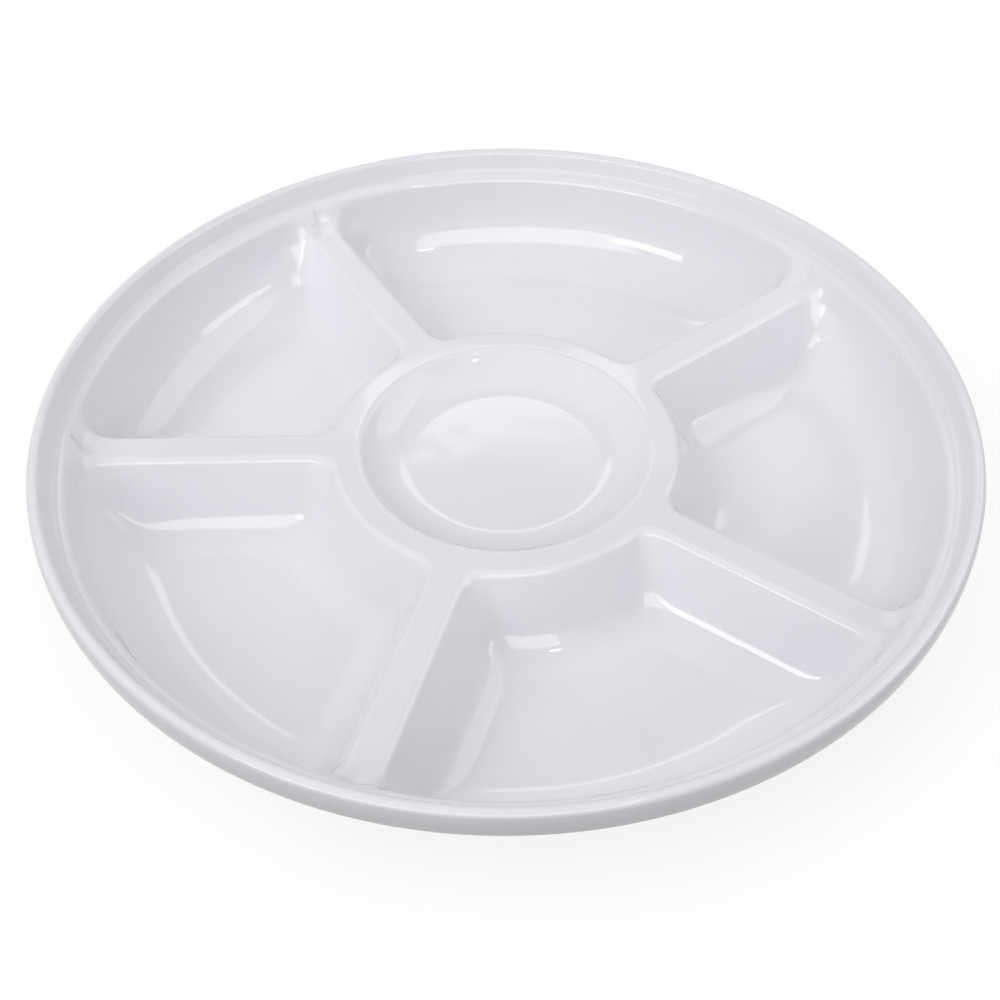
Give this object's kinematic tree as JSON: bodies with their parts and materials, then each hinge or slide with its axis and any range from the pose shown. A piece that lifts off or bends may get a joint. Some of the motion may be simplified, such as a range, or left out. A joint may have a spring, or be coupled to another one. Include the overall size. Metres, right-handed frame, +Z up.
{
  "type": "chip and dip platter",
  "caption": "Round glossy white serving platter with an upstanding rim, deep wedge compartments between sloped hollow dividers, and a shallow round dip well on a raised ring in the middle.",
  "frame": {"origin": "middle of the round footprint, on the table plane that the compartments' flat undersides stand on", "axes": "+Z up, square to the rim; +X to the right and +Y away from the viewer in the picture"},
  "size_m": [0.356, 0.3557, 0.051],
  "materials": {
    "melamine": "glossy white melamine"
  },
  "bodies": {
    "root": {"platter": "melamine"}
  },
  "joints": []
}
